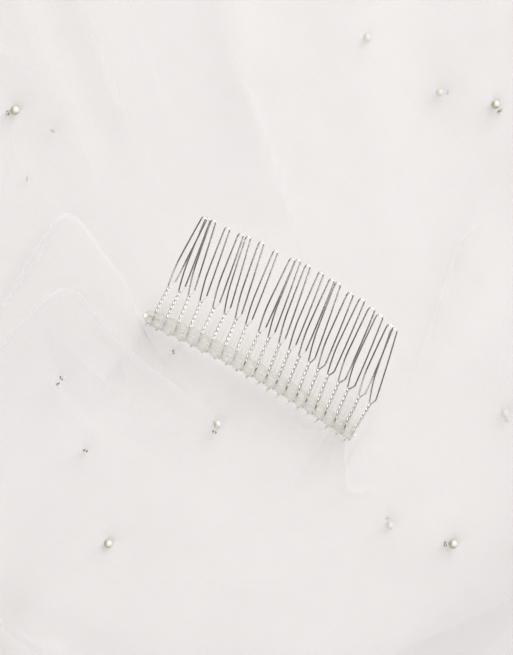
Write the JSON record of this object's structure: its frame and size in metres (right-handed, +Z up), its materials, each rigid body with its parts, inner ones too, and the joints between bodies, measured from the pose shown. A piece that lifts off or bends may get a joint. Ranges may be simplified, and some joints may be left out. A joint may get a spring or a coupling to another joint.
{
  "type": "bridal veil",
  "caption": "Sheer tulle bridal veil with scattered pearls, dropped in a soft low heap with its wire hair comb lying on top.",
  "frame": {"origin": "middle of the heap's box, on the surface it lies on", "axes": "+Z up; the comb's bar runs from the upper left to the lower right across +X, its teeth point to +Y"},
  "size_m": [0.4862, 0.4922, 0.0373],
  "materials": {
    "tulle": "soft sheer white hexagonal net, matt with a faint sheen",
    "sheer_ribbon": "sheer ivory ribbon, slightly glossy",
    "silver_wire": "bright silver plated wire",
    "pearl": "ivory pearl with a soft lustre",
    "silver_bead": "small silver seed bead"
  },
  "bodies": {
    "root": {"under_layers": "tulle", "top_fall": "tulle", "left_flap": "tulle", "left_inner_flap": "tulle", "gathered_head": "tulle", "corner_flap": "tulle", "side_fold": "tulle", "back_fold": "tulle", "front_fold": "tulle", "binding": "sheer_ribbon", "spine_bar": "silver_wire", "tooth_01": "silver_wire", "tooth_02": "silver_wire", "tooth_03": "silver_wire", "tooth_04": "silver_wire", "tooth_05": "silver_wire", "tooth_06": "silver_wire", "tooth_07": "silver_wire", "tooth_08": "silver_wire", "tooth_09": "silver_wire", "tooth_10": "silver_wire", "tooth_11": "silver_wire", "tooth_12": "silver_wire", "tooth_13": "silver_wire", "tooth_14": "silver_wire", "tooth_15": "silver_wire", "tooth_16": "silver_wire", "tooth_17": "silver_wire", "tooth_18": "silver_wire", "tooth_19": "silver_wire", "tooth_20": "silver_wire"}
  },
  "joints": []
}
